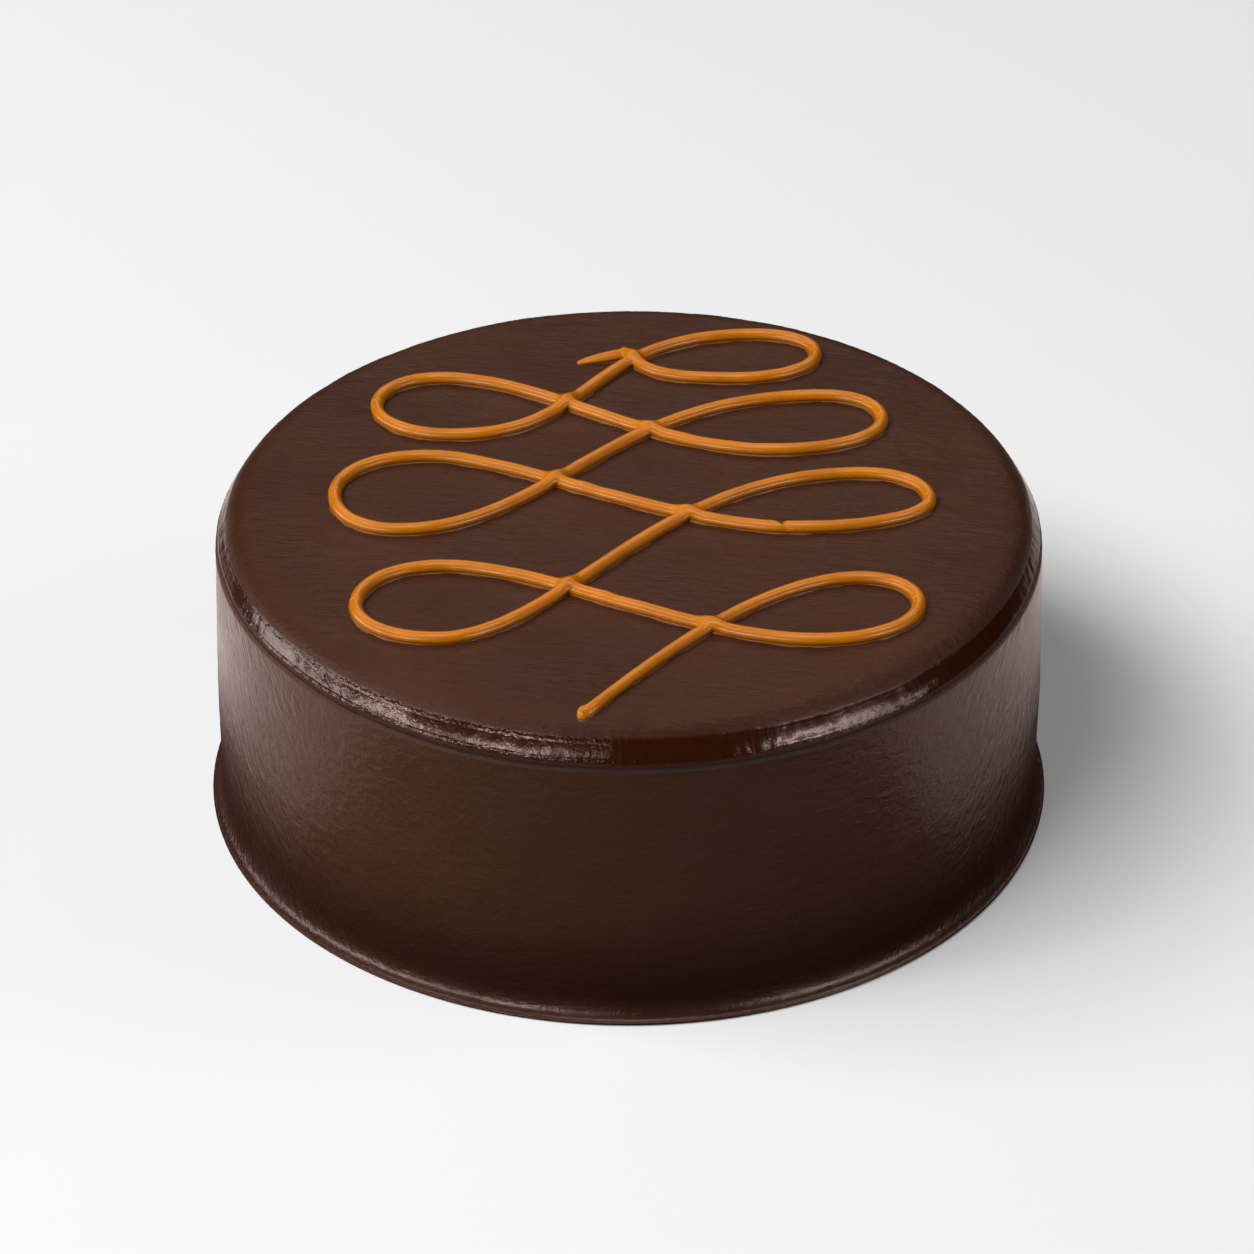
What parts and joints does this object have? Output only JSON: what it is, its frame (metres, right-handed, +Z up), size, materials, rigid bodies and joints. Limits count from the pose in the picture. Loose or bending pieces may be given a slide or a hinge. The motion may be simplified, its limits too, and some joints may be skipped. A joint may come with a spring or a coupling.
{
  "type": "chocolate cake",
  "caption": "Round chocolate-iced layer cake, uncut, with a softly rounded rim and a looping line of caramel piped over its top.",
  "frame": {"origin": "centre of the cake's round base, on the surface that it stands on", "axes": "+Z up along the cake's axis; the caramel line starts at the front edge, towards -Y, and ends at the back, towards +Y"},
  "size_m": [0.2032, 0.2032, 0.0819],
  "materials": {
    "chocolate_icing": "satin chocolate icing",
    "caramel": "glossy piped caramel"
  },
  "bodies": {
    "root": {"chocolate_cake": "chocolate_icing"}
  },
  "joints": []
}
